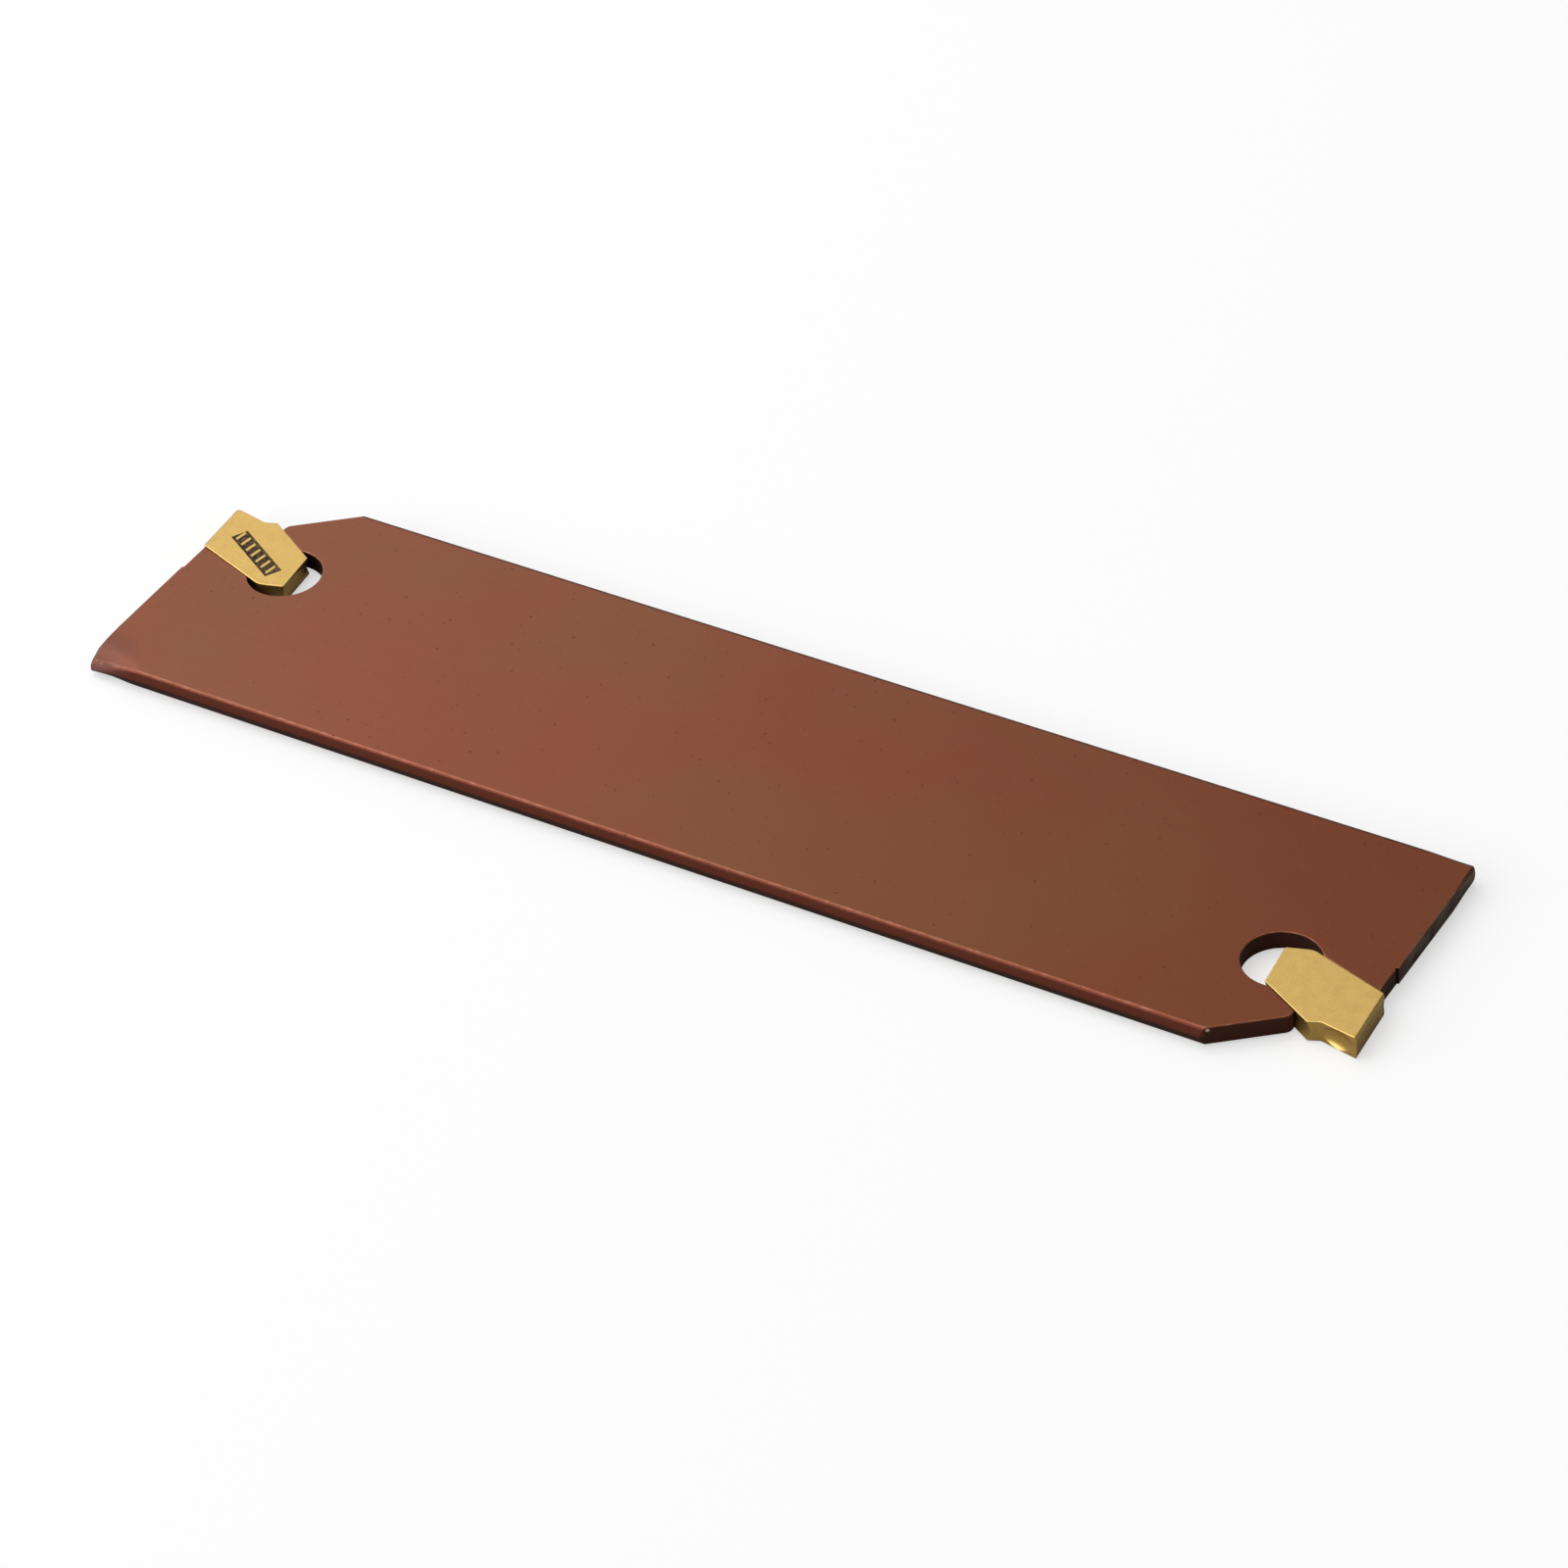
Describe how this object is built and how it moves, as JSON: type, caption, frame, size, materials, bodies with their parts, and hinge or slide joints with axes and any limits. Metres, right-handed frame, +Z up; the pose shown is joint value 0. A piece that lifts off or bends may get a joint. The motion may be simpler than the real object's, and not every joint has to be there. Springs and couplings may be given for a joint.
{
  "type": "lathe parting blade",
  "caption": "Flat lathe parting-off blade with vee-bevelled long edges, cut-away corners and a carbide insert wedged into a spring jaw beside a round key hole at either end.",
  "frame": {"origin": "middle of the blade's outline, level with the inserts' lowest corners; the blade's mid-plane is 1 mm above it", "axes": "+X along the blade's length, +Y across its height, +Z up through its thickness as it lies flat"},
  "size_m": [0.1111, 0.026, 0.002],
  "materials": {
    "blade": "satin reddish-brown coating over hardened tool steel",
    "insert": "gold-coloured nitride coating over cemented carbide, satin"
  },
  "bodies": {
    "blade": {"blade": "blade"},
    "left_insert": {"left_insert": "insert"},
    "right_insert": {"right_insert": "insert"}
  },
  "joints": [
    {"name": "left_insert_slide", "type": "slide", "parent": "blade", "child": "left_insert", "axis": [-0.9132, 0.4075, 0], "range_m": [0, 0.012]},
    {"name": "right_insert_slide", "type": "slide", "parent": "blade", "child": "right_insert", "axis": [0.9132, -0.4075, 0], "range_m": [-0.0005, 0.012]}
  ]
}
